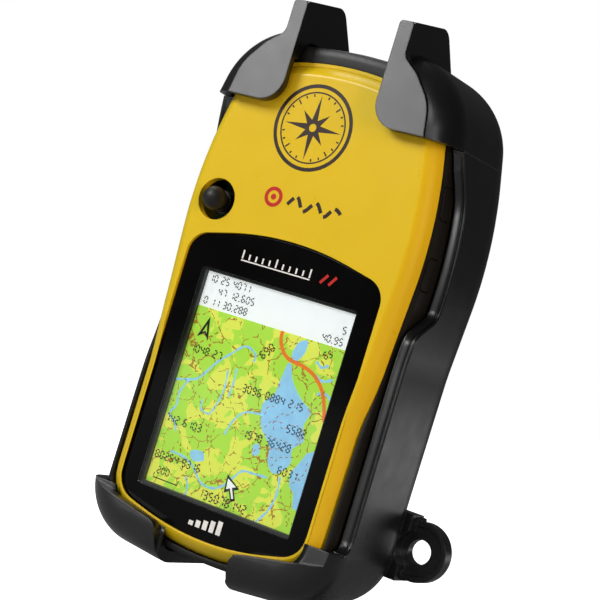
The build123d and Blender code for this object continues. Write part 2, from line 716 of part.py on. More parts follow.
def battery_latch():
    """Quarter-turn latch post with the eye for its ring."""
    head = rod_y(0, LATCH_Z, LATCH_HEAD_R, COVER_DEPTH - 0.2, LATCH_TOP_DEPTH)
    shaft = rod_y(0, LATCH_Z, LATCH_SHAFT_R, 25.5, COVER_DEPTH)
    slot_low = block(-6, 6, 30.05, 40, LATCH_Z - 6, LATCH_Z - RING_WIRE_R - 0.5)
    eye = rod_x(RING_DEPTH, LATCH_Z, RING_WIRE_R + 0.08, -6, 6)
    return head + shaft - slot_low - eye


def latch_ring():
    """D-shaped wire ring hinged in the latch."""
    y = depth(RING_DEPTH)
    bar = Line((-RING_HALF + 1.6, y, LATCH_Z), (RING_HALF - 1.6, y, LATCH_Z))
    ring = rod_x(RING_DEPTH, LATCH_Z, RING_WIRE_R, -RING_HALF + 1.6, RING_HALF - 1.6)
    corner_r = 1.6
    for side in (-1, 1):
        centre = (side * (RING_HALF - corner_r), y, LATCH_Z + corner_r)
        start = (side * (RING_HALF - corner_r), y, LATCH_Z)
        end = (side * RING_HALF, y, LATCH_Z + corner_r)
        middle = (centre[0] + side * corner_r * math.sin(math.pi / 4), y,
                  centre[2] - corner_r * math.cos(math.pi / 4))
        arc = ThreePointArc(start, middle, end)
        section = Plane(origin=start, z_dir=(side, 0, 0)) * Circle(RING_WIRE_R)
        ring += sweep(section, path=arc)
    arch = ThreePointArc((-RING_HALF, y, LATCH_Z + corner_r), (0, y, LATCH_Z + 8.9),
                         (RING_HALF, y, LATCH_Z + corner_r))
    section = Plane(origin=(-RING_HALF, y, LATCH_Z + corner_r), z_dir=arch % 0) * Circle(RING_WIRE_R)
    ring += sweep(section, path=arch)
    return ring


# ---------------------------------------------------------------- port

def port_flap():
    """Rubber weather flap over the data port, hinged at its top edge."""
    half_w = FLAP_W / 2
    half_h = FLAP_H / 2
    plate = block(-half_w, half_w, NAV_DEPTH - FLAP_T, NAV_DEPTH - 0.05, PORT_Z - half_h, PORT_Z + half_h)
    top_edges = plate.edges().filter_by(Axis.X).group_by(Axis.Z)[-1]
    plate = fillet(top_edges, 0.55)
    plug = block(-3.4, 3.4, NAV_DEPTH - FLAP_T - 0.7, NAV_DEPTH - FLAP_T, PORT_Z - 2.2, PORT_Z + 1.0)
    return plate + plug


def usb_socket():
    """Small five-pin data socket facing the back."""
    shell = block(-3.85, 3.85, 19.5, 27.8, PORT_Z - 2.6, PORT_Z + 1.4)
    shell -= block(-3.4, 3.4, 20.2, 30, PORT_Z - 2.2, PORT_Z + 1.0)
    return shell + block(-2.6, 2.6, 19.8, 27.0, PORT_Z - 0.9, PORT_Z - 0.2)


def port_board():
    """Small board that carries the data socket."""
    return block(-9.0, 9.0, 18.2, 19.45, PORT_Z - 6.0, PORT_Z + 6.0)


def port_header():
    """Stacking connector from the main board to the port board."""
    return block(-6.0, 6.0, BOARD_REAR + 0.02, 18.15, PORT_Z - 1.8, PORT_Z + 1.8)


# ---------------------------------------------------------------- the parts

NODES = {
    "cradle_frame": cradle_frame,
    "back_panel": back_panel,
    "left_release_clip": lambda: release_clip(-1),
    "right_release_clip": lambda: release_clip(1),
    "front_shell": front_shell,
    "side_band": side_band,
    "rear_shell": rear_shell,
    "case_seal": case_seal,
    "case_screws": case_screws,
    "window_lens": window_lens,
    "display_bezel": display_bezel,
    "display_glass": display_glass,
    "backlight": backlight,
    "display_ribbon": display_ribbon,
    "main_board": main_board,
    "gps_antenna": gps_antenna,
    "receiver_shield": lambda: shield_can(-9.0, 9.0, 37.0, 48.0),
    "processor_shield": lambda: shield_can(-20.0, -10.0, 14.5, 32.0),
    "key_switches": key_switches,
    "card_socket": card_socket,
    "memory_card": memory_card,
    "beeper": beeper,
    "backup_cell": backup_cell,
    "stick_switch": stick_switch,
    "stick_plunger": stick_plunger,
    "stick_rocker": stick_rocker,
    "stick_cap": stick_cap,
    "left_cell": lambda: aa_cell(-1),
    "right_cell": lambda: aa_cell(1),
    "cell_springs": cell_springs,
    "contact_plates": contact_plates,
    "battery_cover": battery_cover,
    "cover_seal": cover_seal,
    "battery_latch": battery_latch,
    "latch_ring": latch_ring,
    "port_flap": port_flap,
    "usb_socket": usb_socket,
    "port_board": port_board,
    "port_header": port_header,
}
for key_name, key_side, key_z in key_list():
    NODES[key_name] = lambda side=key_side, z=key_z: side_key(side, z)

os.makedirs("parts", exist_ok=True)
for node, make in NODES.items():
    export_step(make(), f"parts/{node}.step")
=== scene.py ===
import json
import math
import random

import bmesh
import bpy
import numpy as np
from mathutils import Matrix, Vector
from mathutils.geometry import delaunay_2d_cdt

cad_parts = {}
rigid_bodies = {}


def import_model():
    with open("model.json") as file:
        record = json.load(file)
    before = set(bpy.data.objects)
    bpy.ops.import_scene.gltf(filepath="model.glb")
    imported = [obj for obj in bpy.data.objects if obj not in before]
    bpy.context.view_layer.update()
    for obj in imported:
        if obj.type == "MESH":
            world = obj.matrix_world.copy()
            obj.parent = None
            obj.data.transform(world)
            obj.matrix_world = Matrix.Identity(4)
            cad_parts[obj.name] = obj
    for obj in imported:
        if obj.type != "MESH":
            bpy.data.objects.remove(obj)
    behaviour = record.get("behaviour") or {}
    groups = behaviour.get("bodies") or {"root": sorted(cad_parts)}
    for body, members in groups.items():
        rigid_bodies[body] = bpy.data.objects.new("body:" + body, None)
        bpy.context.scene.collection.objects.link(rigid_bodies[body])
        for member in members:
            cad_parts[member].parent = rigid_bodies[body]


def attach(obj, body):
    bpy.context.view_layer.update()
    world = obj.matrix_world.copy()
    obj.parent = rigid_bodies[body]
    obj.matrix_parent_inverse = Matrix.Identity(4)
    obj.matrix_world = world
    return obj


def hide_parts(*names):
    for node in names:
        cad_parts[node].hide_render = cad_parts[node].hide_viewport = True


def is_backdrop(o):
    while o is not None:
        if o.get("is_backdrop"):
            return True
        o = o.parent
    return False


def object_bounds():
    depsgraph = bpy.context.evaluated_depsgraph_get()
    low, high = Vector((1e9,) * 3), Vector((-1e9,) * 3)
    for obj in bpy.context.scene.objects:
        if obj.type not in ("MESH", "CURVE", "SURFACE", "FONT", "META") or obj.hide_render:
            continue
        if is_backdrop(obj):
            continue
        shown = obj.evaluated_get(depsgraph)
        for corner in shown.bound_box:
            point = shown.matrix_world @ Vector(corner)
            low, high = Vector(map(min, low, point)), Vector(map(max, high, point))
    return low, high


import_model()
bounds_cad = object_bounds()
ROOT = "navigator_and_cradle"
MM = 0.001
FRONT_Y = -32.7
rng = random.Random(11)

# ------------------------------------------------------------------ procedural materials


def clean(mat):
    """An empty node tree for a material, with one shader in it."""
    mat.use_nodes = True
    tree = mat.node_tree
    tree.nodes.clear()
    out = tree.nodes.new("ShaderNodeOutputMaterial")
    shader = tree.nodes.new("ShaderNodeBsdfPrincipled")
    tree.links.new(shader.outputs[0], out.inputs[0])
    return tree, shader


def surface(name, color, rough, metal=0.0, tone=0.12, tone_size=9.0, grain=0.0, grain_size=0.35,
            rough_spread=0.1, coat=0.0, level=0.5, soft=0.25, dust=0.0):
    """A moulded, painted or metal finish: tone drift, uneven gloss, fine grain and softened edges."""
    mat = bpy.data.materials.get(name) or bpy.data.materials.new(name)
    tree, shader = clean(mat)
    new, link = tree.nodes.new, tree.links.new
    place = new("ShaderNodeTexCoord")
    broad = new("ShaderNodeTexNoise")
    broad.inputs["Scale"].default_value = 1000.0 / tone_size
    broad.inputs["Detail"].default_value = 4.0
    link(place.outputs["Object"], broad.inputs["Vector"])
    ramp = new("ShaderNodeValToRGB")
    low = [c * (1 - tone) for c in color]
    high = [min(1.0, c * (1 + tone) + dust) for c in color]
    ramp.color_ramp.elements[0].position = 0.3
    ramp.color_ramp.elements[1].position = 0.7
    ramp.color_ramp.elements[0].color = (*low, 1)
    ramp.color_ramp.elements[1].color = (*high, 1)
    link(broad.outputs["Fac"], ramp.inputs["Fac"])
    link(ramp.outputs["Color"], shader.inputs["Base Color"])
    smudge = new("ShaderNodeTexNoise")
    smudge.inputs["Scale"].default_value = 1000.0 / (tone_size * 0.45)
    smudge.inputs["Detail"].default_value = 6.0
    link(place.outputs["Object"], smudge.inputs["Vector"])
    spread = new("ShaderNodeMapRange")
    spread.inputs["From Min"].default_value = 0.3
    spread.inputs["From Max"].default_value = 0.7
    spread.inputs["To Min"].default_value = max(0.02, rough * (1 - rough_spread))
    spread.inputs["To Max"].default_value = min(1.0, rough * (1 + rough_spread))
    link(smudge.outputs["Fac"], spread.inputs["Value"])
    link(spread.outputs["Result"], shader.inputs["Roughness"])
    shader.inputs["Metallic"].default_value = metal
    shader.inputs["Specular IOR Level"].default_value = level
    shader.inputs["Coat Weight"].default_value = coat
    shader.inputs["Coat Roughness"].default_value = 0.12
    bevel = None
    if soft:
        bevel = new("ShaderNodeBevel")
        bevel.samples = 4
        bevel.inputs["Radius"].default_value = soft * MM
    if grain:
        fine = new("ShaderNodeTexNoise")
        fine.inputs["Scale"].default_value = 1000.0 / grain_size
        fine.inputs["Detail"].default_value = 3.0
        link(place.outputs["Object"], fine.inputs["Vector"])
        bump = new("ShaderNodeBump")
        bump.inputs["Strength"].default_value = grain
        bump.inputs["Distance"].default_value = 0.00004
        link(fine.outputs["Fac"], bump.inputs["Height"])
        if bevel:
            link(bevel.outputs[0], bump.inputs["Normal"])
        link(bump.outputs["Normal"], shader.inputs["Normal"])
    elif bevel:
        link(bevel.outputs[0], shader.inputs["Normal"])
    return mat


surface("cradle_black", (0.004, 0.004, 0.0042), 0.3, tone=0.15, grain=0.1, level=0.7, soft=0.3)
surface("case_yellow", (0.80, 0.56, 0.012), 0.3, tone=0.02, grain=0.1, grain_size=0.5, level=0.4, soft=0.15)
surface("case_black", (0.012, 0.012, 0.013), 0.42, grain=0.35, soft=0.3)
surface("grip_rubber", (0.009, 0.0088, 0.0085), 0.45, grain=0.3, level=0.4, soft=0.3)
surface("seal_rubber", (0.02, 0.02, 0.021), 0.62, grain=0.4)
surface("screw_steel", (0.55, 0.55, 0.56), 0.28, metal=1.0, grain=0.2, soft=0.1)
surface("lens_print", (0.003, 0.003, 0.0033), 0.1, tone=0.2, level=0.12, soft=0.1, rough_spread=0.3)
surface("bezel_grey", (0.05, 0.052, 0.055), 0.45, grain=0.2, soft=0.1)
surface("display_face", (0.35, 0.4, 0.3), 0.3, tone=0.05, soft=0)
surface("light_guide", (0.7, 0.72, 0.74), 0.3, soft=0.1)
surface("ribbon_film", (0.5, 0.24, 0.04), 0.35, tone=0.2, soft=0)
surface("board_green", (0.012, 0.09, 0.03), 0.4, tone=0.35, tone_size=3.0, grain=0.6, grain_size=0.8, soft=0)
surface("ceramic", (0.62, 0.58, 0.48), 0.5, tone=0.06, grain=0.3, soft=0.15)
surface("shield_tin", (0.62, 0.62, 0.6), 0.3, metal=1.0, grain=0.2, soft=0.2)
surface("part_black", (0.02, 0.02, 0.022), 0.45, grain=0.3, soft=0.15)
surface("card_black", (0.015, 0.015, 0.017), 0.3, grain=0.1, soft=0.1)
surface("cell_jacket", (0.03, 0.07, 0.2), 0.28, tone=0.2, coat=0.4, soft=0.2)
surface("spring_nickel", (0.7, 0.68, 0.62), 0.22, metal=1.0, soft=0)
surface("ring_steel", (0.6, 0.6, 0.6), 0.24, metal=1.0, grain=0.15, soft=0)

# ------------------------------------------------------------------ camera, light, floor

EYE = Vector((164.09, -312.69, 3.76)) * MM
AZIMUTH, ELEVATION, ROLL = (math.radians(a) for a in (29.50, -0.24, 16.96))
back = Vector((math.sin(AZIMUTH) * math.cos(ELEVATION), -math.cos(AZIMUTH) * math.cos(ELEVATION),
               math.sin(ELEVATION)))
side = Vector((math.cos(AZIMUTH), math.sin(AZIMUTH), 0))
rise = back.cross(side)
right = math.cos(ROLL) * side + math.sin(ROLL) * rise
up = -math.sin(ROLL) * side + math.cos(ROLL) * rise
camera_data = bpy.data.cameras.new("camera")
camera_data.lens = 102.0
camera_data.sensor_width = 36.0
camera_data.clip_start = 0.01
camera = bpy.data.objects.new("camera", camera_data)
camera.matrix_world = Matrix((
    (right.x, up.x, back.x, EYE.x), (right.y, up.y, back.y, EYE.y),
    (right.z, up.z, back.z, EYE.z), (0, 0, 0, 1)))
bpy.context.scene.collection.objects.link(camera)
bpy.context.scene.camera = camera


def soft_box(name, place, target, width, height, power, tint=(1, 1, 1)):
    """A rectangular studio light at a place, aimed at a target."""
    light = bpy.data.lights.new(name, "AREA")
    light.shape = "RECTANGLE"
    light.size = width
    light.size_y = height
    light.energy = power
    light.color = tint
    lamp = bpy.data.objects.new(name, light)
    lamp.location = place
    lamp.rotation_euler = (Vector(target) - Vector(place)).to_track_quat("-Z", "Y").to_euler()
    bpy.context.scene.collection.objects.link(lamp)
    return lamp


soft_box("key", (-0.50, -0.66, 0.46), (0, 0, 0), 0.4, 0.35, 5.6)
front_left = soft_box("front_left", (-0.50, -0.80, 0.02), (0, 0, 0), 0.3, 0.5, 2.8)
soft_box("front_fill", (0.05, -1.1, 0.55), (0, 0, 0), 0.6, 0.2, 2.0)
right_fill = soft_box("right_fill", (0.75, -0.30, 0.12), (0, 0, 0), 0.3, 0.5, 4.4, (1.0, 0.66, 0.36))
right_fill.visible_glossy = False
camera_side = soft_box("camera_side", (0.62, -0.95, 0.16), (0, 0, 0), 0.25, 0.25, 2.6)
low_right = soft_box("low_right", (0.15, 0.22, -0.05), (0.028, -0.012, -0.03), 0.12, 0.06, 0.024)
low_right.visible_camera = False
soft_box("top_left", (-0.35, 0.1, 0.6), (0, 0, 0.03), 0.35, 0.35, 1.6)

world = bpy.data.worlds.new("studio")
bpy.context.scene.world = world
world.use_nodes = True
tree = world.node_tree
tree.nodes.clear()
out = tree.nodes.new("ShaderNodeOutputWorld")
seen = tree.nodes.new("ShaderNodeBackground")
seen.inputs["Color"].default_value = (1, 1, 1, 1)
seen.inputs["Strength"].default_value = 1.0
around = tree.nodes.new("ShaderNodeBackground")
around.inputs["Color"].default_value = (1, 1, 1, 1)
around.inputs["Strength"].default_value = 0.06
path = tree.nodes.new("ShaderNodeLightPath")
mix = tree.nodes.new("ShaderNodeMixShader")
tree.links.new(path.outputs["Is Camera Ray"], mix.inputs["Fac"])
tree.links.new(around.outputs[0], mix.inputs[1])
tree.links.new(seen.outputs[0], mix.inputs[2])
tree.links.new(mix.outputs[0], out.inputs[0])
bpy.context.scene.view_settings.view_transform = "Standard"
bpy.context.scene.view_settings.look = "None"

# ------------------------------------------------------------------ mesh helpers (millimetres)


def at(x, depth, z):
    """A point in the frame, from X, the depth behind the yellow face and Z."""
    return (x * MM, (FRONT_Y + depth) * MM, z * MM)


def rounded(points, radii, step=0.35):
    """A closed outline through points, each corner turned with its own radius."""
    loop = []
    count = len(points)
    for i, (p, radius) in enumerate(zip(points, radii)):
        p = np.array(p, float)
        if radius <= 0:
            loop.append(p)
            continue
        a = np.array(points[i - 1], float) - p
        b = np.array(points[(i + 1) % count], float) - p
        a /= np.linalg.norm(a)
        b /= np.linalg.norm(b)
        half = math.acos(max(-1, min(1, float(a @ b)))) / 2
        reach = radius / math.tan(half)
        centre = p + (a + b) / np.linalg.norm(a + b) * radius / math.sin(half)
        start = p + a * reach - centre
        sweep = math.pi - 2 * half
        end = p + b * reach - centre
        turn = 1 if start[0] * end[1] - start[1] * end[0] > 0 else -1
        parts = max(3, int(abs(radius * sweep) / step))
        for k in range(parts + 1):
            t = turn * sweep * k / parts
            loop.append(centre + np.array((start[0] * math.cos(t) - start[1] * math.sin(t),
                                           start[0] * math.sin(t) + start[1] * math.cos(t))))
    return np.array(loop)


def resample(loop, count, closed=True):
    """Evenly spaced points along a line."""
    pts = np.vstack([loop, loop[:1]]) if closed else np.asarray(loop, float)
    seg = np.linalg.norm(np.diff(pts, axis=0), axis=1)
    run = np.concatenate([[0], np.cumsum(seg)])
    want = np.linspace(0, run[-1], count + 1)[:-1] if closed else np.linspace(0, run[-1], count)
    return np.stack([np.interp(want, run, pts[:, k]) for k in range(pts.shape[1])], axis=1)


def normals(loop):
    """Outward normals of a closed outline."""
    ahead = np.roll(loop, -1, axis=0) - np.roll(loop, 1, axis=0)
    n = np.stack([ahead[:, 1], -ahead[:, 0]], axis=1)
    n /= np.linalg.norm(n, axis=1)[:, None]
    area = 0.5 * np.sum(loop[:, 0] * np.roll(loop[:, 1], -1) - np.roll(loop[:, 0], -1) * loop[:, 1])
    return n if area > 0 else -n


def grown(loop, amount):
    """A closed line moved outwards along its normals."""
    return loop + normals(loop) * amount


def signed_area(pts, corners):
    """Twice the area of a flat face, positive where its corners run anticlockwise."""
    total = 0
    for i, corner in enumerate(corners):
        x0, z0 = pts[corner]
        x1, z1 = pts[corners[(i + 1) % len(corners)]]
        total += x0 * z1 - x1 * z0
    return total


def build(name, verts, faces, slot, body=ROOT, replaces=(), smooth=True, material=None, angle=35):
    """A mesh piece that rides on a body, with its material and the nodes it replaces."""
    mesh = bpy.data.meshes.new(name)
    mesh.from_pydata([tuple(v) for v in verts], [], [tuple(f) for f in faces])
    mesh.validate()
    obj = bpy.data.objects.new(name, mesh)
    bpy.context.scene.collection.objects.link(obj)
    mesh.materials.append(material or bpy.data.materials[slot])
    if smooth:
        mesh.shade_smooth()
        mesh.set_sharp_from_angle(angle=math.radians(angle))
    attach(obj, body)
    for node in replaces:
        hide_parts(node)
    return obj


def fill(loops):
    """Triangles that fill the first loop less the loops inside it, as points and faces."""
    pts, edges, start = [], [], 0
    for loop in loops:
        pts += [Vector((float(p[0]), float(p[1]))) for p in loop]
        edges += [(start + i, start + (i + 1) % len(loop)) for i in range(len(loop))]
        start += len(loop)
    verts, _, faces, _, _, _ = delaunay_2d_cdt(pts, edges, [], 1, 1e-5)
    rings = [np.asarray(loop, float) for loop in loops]

    def inside(point, ring):
        x, y = point
        x0, y0 = ring[:, 0], ring[:, 1]
        x1, y1 = np.roll(x0, -1), np.roll(y0, -1)
        cross = ((y0 > y) != (y1 > y))
        with np.errstate(divide="ignore", invalid="ignore"):
            hit = cross & (x < (x1 - x0) * (y - y0) / (y1 - y0) + x0)
        return bool(np.count_nonzero(hit) % 2)

    kept = []
    for f in faces:
        mid = sum((verts[i] for i in f), Vector((0, 0))) / len(f)
        if inside(mid, rings[0]) and not any(inside(mid, ring) for ring in rings[1:]):
            kept.append(tuple(f))
    return [(v.x, v.y) for v in verts], kept


def prism(shapes, d0, d1):
    """Closed flat plates. Each shape is an outline followed by its holes."""
    verts, faces = [], []
    for loops in shapes:
        pts, tris = fill(loops)
        base = len(verts)
        n = len(pts)
        verts += [at(x, d0, z) for x, z in pts] + [at(x, d1, z) for x, z in pts]
        counts = {}
        for tri in tris:
            tri = tri if signed_area(pts, tri) > 0 else tri[::-1]
            faces.append([base + i for i in tri])
            faces.append([base + n + i for i in reversed(tri)])
            for i in range(len(tri)):
                counts[(tri[i], tri[(i + 1) % len(tri)])] = 1
        for a, b in counts:
            if (b, a) not in counts:
                faces.append([base + b, base + a, base + n + a, base + n + b])
    return verts, faces


def ribbon(points, width, closed=False):
    """The outline of a flat line of even width through points."""
    pts = np.asarray(points, float)
    d = np.roll(pts, -1, axis=0) - np.roll(pts, 1, axis=0)
    if not closed:
        d[0] = pts[1] - pts[0]
        d[-1] = pts[-1] - pts[-2]
    n = np.stack([-d[:, 1], d[:, 0]], axis=1)
    n /= np.linalg.norm(n, axis=1)[:, None]
    w = np.asarray(width, float) / 2
    w = w[:, None] if w.ndim else w
    return np.vstack([pts + n * w, (pts - n * w)[::-1]])


def spline(points, parts=8, closed=False):
    """A smooth line through points."""
    pts = [np.array(p, float) for p in points]
    count = len(pts)
    out = []
    last = count if closed else count - 1
    for i in range(last):
        if closed:
            p0, p1, p2, p3 = pts[i - 1], pts[i], pts[(i + 1) % count], pts[(i + 2) % count]
        else:
            p0, p1, p2, p3 = pts[max(0, i - 1)], pts[i], pts[i + 1], pts[min(count - 1, i + 2)]
        for k in range(parts):
            t = k / parts
            out.append(0.5 * (2 * p1 + (p2 - p0) * t + (2 * p0 - 5 * p1 + 4 * p2 - p3) * t * t
                              + (3 * p1 - p0 - 3 * p2 + p3) * t ** 3))
    if not closed:
        out.append(pts[-1])
    return np.array(out)


def circle(x, z, radius, count=48):
    """Points round a circle."""
    angles = [2 * math.pi * k / count for k in range(count)]
    return np.array([(x + radius * math.cos(a), z + radius * math.sin(a)) for a in angles])


# ------------------------------------------------------------------ outlines shared with the frame

NAV_TOP, NAV_BOTTOM = 54.0, -49.1


def outline(grow=0.0, count=420):
    """The navigator's widest outline, grown all round."""
    right_side = [(21.8, NAV_TOP - 1.1), (28.0, 25.5), (26.3, -1.0), (26.1, NAV_BOTTOM + 2.2)]
    radii = [13.5, 90.0, 60.0, 9.6]
    left_side = [(-x, z) for x, z in right_side[::-1]]
    points = [(0, NAV_TOP + 0.1)] + right_side + [(0, NAV_BOTTOM - 0.5)] + left_side
    loop = rounded(points, [60.0] + radii + [100.0] + radii[::-1])[::-1]
    start = int(np.argmin(np.abs(loop[:, 0]) + (loop[:, 1] > 0) * 100))
    loop = resample(np.roll(loop, -start, axis=0), count)
    return grown(loop, grow) if grow else loop


def window_outline(grow=0.0):
    """The window over the display: arched top and bottom, round corners."""
    half, top, low = 22.25, 15.2, -44.4
    points = [(0, top + 1.6), (half, top - 3.4), (half, low + 3.4),
              (0, low - 1.6), (-half, low + 3.4), (-half, top - 3.4)]
    loop = resample(rounded(points, [64.0, 4.5, 6.0, 64.0, 6.0, 4.5])[::-1], 260)
    return grown(loop, grow) if grow else loop


# ------------------------------------------------------------------ printed and screen finishes


def ink(name, color, glow=0.0, rough=0.4, spread=0.06, size=2.0):
    """Printed ink or a lit screen colour, slightly uneven. A glow given to printed ink is painted light."""
    mat = bpy.data.materials.new(name)
    tree, shader = clean(mat)
    new, link = tree.nodes.new, tree.links.new
    place = new("ShaderNodeTexCoord")
    noise = new("ShaderNodeTexNoise")
    noise.inputs["Scale"].default_value = 1000.0 / size
    noise.inputs["Detail"].default_value = 5.0
    link(place.outputs["Object"], noise.inputs["Vector"])
    ramp = new("ShaderNodeValToRGB")
    ramp.color_ramp.elements[0].position = 0.35
    ramp.color_ramp.elements[1].position = 0.65
    ramp.color_ramp.elements[0].color = (*[c * (1 - spread) for c in color], 1)
    ramp.color_ramp.elements[1].color = (*[min(1.0, c * (1 + spread)) for c in color], 1)
    link(noise.outputs["Fac"], ramp.inputs["Fac"])
    link(ramp.outputs["Color"], shader.inputs["Base Color"])
    if glow:
        link(ramp.outputs["Color"], shader.inputs["Emission Color"])
        shader.inputs["Emission Strength"].default_value = glow
    shader.inputs["Roughness"].default_value = rough
    return mat


GLOW = 0.5


def map_ground():
    """Fields and woods in two greens, crossed by thin broken tracks."""
    mat = bpy.data.materials.new("map_ground")
    tree, shader = clean(mat)
    new, link = tree.nodes.new, tree.links.new
    place = new("ShaderNodeTexCoord")
    patches = new("ShaderNodeTexNoise")
    patches.inputs["Scale"].default_value = 210.0
    patches.inputs["Detail"].default_value = 3.0
    patches.inputs["Distortion"].default_value = 0.6
    link(place.outputs["Object"], patches.inputs["Vector"])
    ramp = new("ShaderNodeValToRGB")
    ramp.color_ramp.interpolation = "CONSTANT"
    ramp.color_ramp.elements[0].position = 0.0
    ramp.color_ramp.elements[0].color = (0.80, 0.86, 0.10, 1)
    ramp.color_ramp.elements[1].position = 0.47
    ramp.color_ramp.elements[1].color = (0.45, 0.78, 0.06, 1)
    link(patches.outputs["Fac"], ramp.inputs["Fac"])
    wander = new("ShaderNodeTexNoise")
    wander.inputs["Scale"].default_value = 420.0
    wander.inputs["Detail"].default_value = 2.0
    link(place.outputs["Object"], wander.inputs["Vector"])
    push = new("ShaderNodeMix")
    push.data_type = "VECTOR"
    push.inputs["Factor"].default_value = 0.0022
    link(place.outputs["Object"], push.inputs[4])
    link(wander.outputs["Color"], push.inputs[5])
    cells = new("ShaderNodeTexVoronoi")
    cells.feature = "DISTANCE_TO_EDGE"
    cells.inputs["Scale"].default_value = 250.0
    link(push.outputs[1], cells.inputs["Vector"])
    thin = new("ShaderNodeMath")
    thin.operation = "LESS_THAN"
    thin.inputs[1].default_value = 0.022
    link(cells.outputs["Distance"], thin.inputs[0])
    dash = new("ShaderNodeTexNoise")
    dash.inputs["Scale"].default_value = 1500.0
    link(place.outputs["Object"], dash.inputs["Vector"])
    gap = new("ShaderNodeMath")
    gap.operation = "GREATER_THAN"
    gap.inputs[1].default_value = 0.46
    link(dash.outputs["Fac"], gap.inputs[0])
    both = new("ShaderNodeMath")
    both.operation = "MULTIPLY"
    link(thin.outputs[0], both.inputs[0])
    link(gap.outputs[0], both.inputs[1])
    tracks = new("ShaderNodeMix")
    tracks.data_type = "RGBA"
    link(both.outputs[0], tracks.inputs[0])
    link(ramp.outputs["Color"], tracks.inputs[6])
    tracks.inputs[7].default_value = (0.42, 0.2, 0.02, 1)
    link(tracks.outputs[2], shader.inputs["Base Color"])
    link(tracks.outputs[2], shader.inputs["Emission Color"])
    shader.inputs["Emission Strength"].default_value = GLOW
    shader.inputs["Roughness"].default_value = 0.5
    return mat


water_ink = ink("map_water", (0.30, 0.62, 0.90), GLOW)
road_ink = ink("map_road", (0.88, 0.20, 0.02), GLOW)
track_ink = ink("map_track", (0.36, 0.16, 0.02), GLOW)
head_ink = ink("map_header", (0.90, 0.92, 0.92), 0.62, spread=0.02)
label_ink = ink("map_label", (0.01, 0.01, 0.012), 0.0)
mark_ink = ink("face_mark", (0.028, 0.012, 0.006), 0.0, rough=0.35, spread=0.3)
red_ink = ink("red_mark", (0.55, 0.012, 0.006), 0.0, rough=0.35)
# The white print on the window gets a slight glow: painted light that makes the print brighter than the lamps
# alone would.
white_ink_painted_glow = ink("white_mark", (0.75, 0.75, 0.74), 0.15, rough=0.4)

# ------------------------------------------------------------------ window, screen and map

SCREEN_HALF, SCREEN_TOP, SCREEN_H = 17.2, 5.5, 43.0
LENS_FRONT, LENS_BACK = 0.55, 1.3


def screen(points):
    """Screen points, measured right and down from its top left corner, in the frame's X and Z."""
    return [(p[0] - SCREEN_HALF, SCREEN_TOP - p[1]) for p in points]


def rect(x0, z0, x1, z1, r=0.0, step=0.12):
    """A rectangle between two corners, its own corners rounded if asked."""
    pts = [(x0, z0), (x1, z0), (x1, z1), (x0, z1)]
    return rounded(pts, [r] * 4, step) if r else np.array(pts, float)


def plate_with_edge(name, outer, holes, d0, d1, edge, slot, replaces=(), material=None):
    """A plate whose front rim is softly rounded."""
    rings, steps = [], 4
    for k in range(steps + 1):
        a = math.pi / 2 * k / steps
        rings.append((edge * (1 - math.sin(a)), d0 + edge * (1 - math.cos(a))))
    count = len(outer)
    verts, faces = [], []
    flat = grown(outer, -edge)
    pts, tris = fill([flat] + holes)
    verts += [at(x, d0, z) for x, z in pts]
    for tri in tris:
        faces.append(tri if signed_area(pts, tri) > 0 else tri[::-1])
    prev = list(range(count))
    for inset, d in rings[1:] + [(0.0, d1)]:
        base = len(verts)
        ring = grown(outer, -inset)
        verts += [at(x, d, z) for x, z in ring]
        cur = list(range(base, base + count))
        for i in range(count):
            j = (i + 1) % count
            faces.append((prev[j], prev[i], cur[i], cur[j]))
        prev = cur
    starts = count
    for hole in holes:
        base = len(verts)
        verts += [at(x, d1, z) for x, z in hole]
        n = len(hole)
        for i in range(n):
            j = (i + 1) % n
            faces.append((starts + i, starts + j, base + j, base + i))
        starts += n
    base = len(verts)
    pts, tris = fill([outer] + holes)
    verts += [at(x, d1, z) for x, z in pts]
    for tri in tris:
        tri = tri[::-1] if signed_area(pts, tri) > 0 else tri
        faces.append([base + i for i in tri])
    obj = build(name, verts, faces, slot, replaces=replaces, material=material)
    weld = obj.modifiers.new("weld", "WELD")
    weld.merge_threshold = 0.000002
    return obj


opening = rect(-17.9, -38.3, 17.9, 6.2, 0.7)
plate_with_edge("window_print", window_outline(-0.06), [opening], LENS_FRONT, LENS_BACK, 0.3,
                "lens_print", replaces=("window_lens",))


def clear_material():
    """Clear pane: see-through, with a thin gloss that grows towards grazing angles."""
    mat = bpy.data.materials.new("clear_pane")
    mat.use_nodes = True
    tree = mat.node_tree
    tree.nodes.clear()
    out = tree.nodes.new("ShaderNodeOutputMaterial")
    clear = tree.nodes.new("ShaderNodeBsdfTransparent")
    clear.inputs["Color"].default_value = (0.96, 0.97, 0.97, 1)
    gloss = tree.nodes.new("ShaderNodeBsdfGlossy")
    gloss.inputs["Roughness"].default_value = 0.03
    fresnel = tree.nodes.new("ShaderNodeFresnel")
    fresnel.inputs["IOR"].default_value = 1.35
    mix = tree.nodes.new("ShaderNodeMixShader")
    tree.links.new(fresnel.outputs[0], mix.inputs[0])
    tree.links.new(clear.outputs[0], mix.inputs[1])
    tree.links.new(gloss.outputs[0], mix.inputs[2])
    tree.links.new(mix.outputs[0], out.inputs[0])
    return mat


pane = rect(-17.85, -38.25, 17.85, 6.15, 0.65)
build("clear_pane", *prism([[pane]], LENS_FRONT + 0.03, LENS_FRONT + 0.5), "lens_print", smooth=False,
      material=clear_material())

screen_edge = rect(-SCREEN_HALF, SCREEN_TOP - SCREEN_H, SCREEN_HALF, SCREEN_TOP)
build("screen_map", *prism([[screen_edge]], 2.34, 2.38), "display_face", smooth=False, material=map_ground())
build("screen_header", *prism([[rect(-SCREEN_HALF, SCREEN_TOP - 7.0, SCREEN_HALF, SCREEN_TOP)]], 2.29, 2.33),
      "display_face", smooth=False, material=head_ink)

